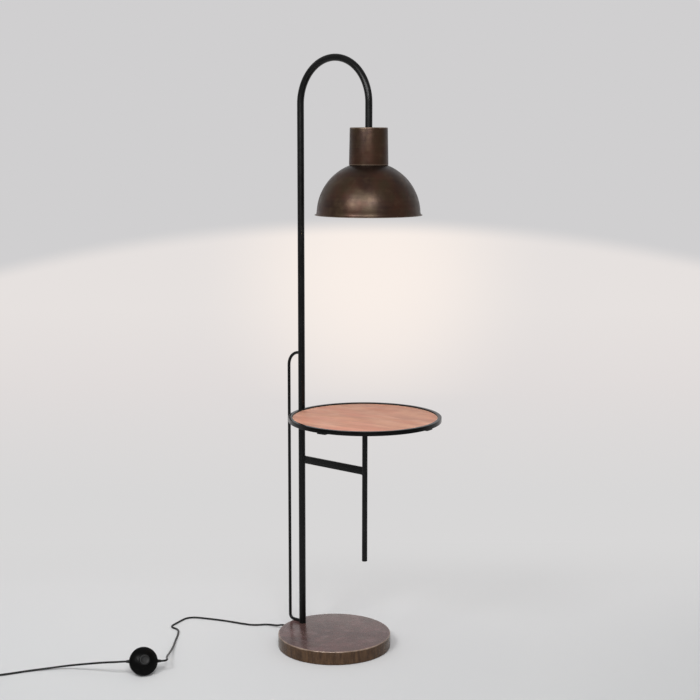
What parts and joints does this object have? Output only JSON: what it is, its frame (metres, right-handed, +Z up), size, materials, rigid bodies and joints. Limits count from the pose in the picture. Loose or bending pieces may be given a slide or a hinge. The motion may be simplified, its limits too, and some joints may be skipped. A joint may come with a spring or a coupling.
{
  "type": "floor lamp with table",
  "caption": "Hooked floor lamp on a round base, with a half-sphere shade, a small round wooden table on a bracket, a foot switch, a coiled cord and a plug.",
  "frame": {"origin": "centre of the base's underside, on the floor", "axes": "+Z up; +X from the pole towards the shade and the table; the lamp hooks over in the XZ plane"},
  "size_m": [0.8323, 1.0921, 1.557],
  "materials": {
    "black_steel": "satin powder coat",
    "bronze_paint": "satin bronze-brown patina paint",
    "table_wood": "matt lacquered veneer",
    "grey_iron": "as cast",
    "zinc_steel": "zinc plated",
    "brass": "turned",
    "soft_pad": "matt foam",
    "cord_pvc": "smooth, slightly glossy",
    "switch_plastic": "gloss",
    "holder_plastic": "matt moulded",
    "white_plastic": "moulded",
    "spring_steel": "drawn wire",
    "cap_aluminium": "rolled",
    "bulb_glass": "frosted"
  },
  "bodies": {
    "lamp": {"base_cover": "bronze_paint", "base_weight": "grey_iron", "bottom_plate": "zinc_steel", "floor_pad": "soft_pad", "plate_screws": "zinc_steel", "cover_studs": "zinc_steel", "stud_nuts": "zinc_steel", "pole_washer": "zinc_steel", "pole_nut": "zinc_steel", "pole_foot_insert": "zinc_steel", "lower_pole": "black_steel", "pole_coupler": "zinc_steel", "upper_pole": "black_steel", "bow_rod": "black_steel", "bracket_bar": "black_steel", "table_stem": "black_steel", "stem_cap": "black_steel", "cross_bar_long": "black_steel", "cross_bar_across": "black_steel", "table_rim": "black_steel", "table_top": "table_wood", "table_screws": "zinc_steel", "shade_dome": "bronze_paint", "shade_neck": "bronze_paint", "arm_end_plug": "zinc_steel", "hollow_nipple": "brass", "neck_washer": "zinc_steel", "neck_nut": "brass", "holder_cap": "holder_plastic", "holder_body": "holder_plastic", "upper_shade_ring": "holder_plastic", "lower_shade_ring": "holder_plastic", "contact_disc": "white_plastic", "centre_contact": "brass", "bulb_cap": "cap_aluminium", "bulb_glass": "bulb_glass", "terminal_block": "white_plastic", "terminal_screws": "zinc_steel", "inner_cable": "cord_pvc", "mains_tail": "cord_pvc", "cord_gland": "cord_pvc", "switch_base": "switch_plastic", "switch_cover": "switch_plastic", "switch_contact_block": "white_plastic", "button_spring": "spring_steel", "switch_leads": "cord_pvc", "port_sleeves": "cord_pvc", "cord_clamps": "white_plastic", "switch_screws": "zinc_steel", "cord_to_switch": "cord_pvc", "cord_to_coil": "cord_pvc", "cord_coil": "cord_pvc", "coil_tie": "switch_plastic", "plug_body": "switch_plastic", "plug_relief": "switch_plastic", "plug_pins": "brass"},
    "foot_button": {"switch_button": "switch_plastic"}
  },
  "joints": [
    {"name": "foot_button_press", "type": "slide", "parent": "lamp", "child": "foot_button", "axis": [-0.746, 0.4483, -0.4924], "range_m": [0, 0.003], "stiffness_N_per_m": 800, "springref_m": -0.004, "deforming": ["button_spring"]}
  ]
}
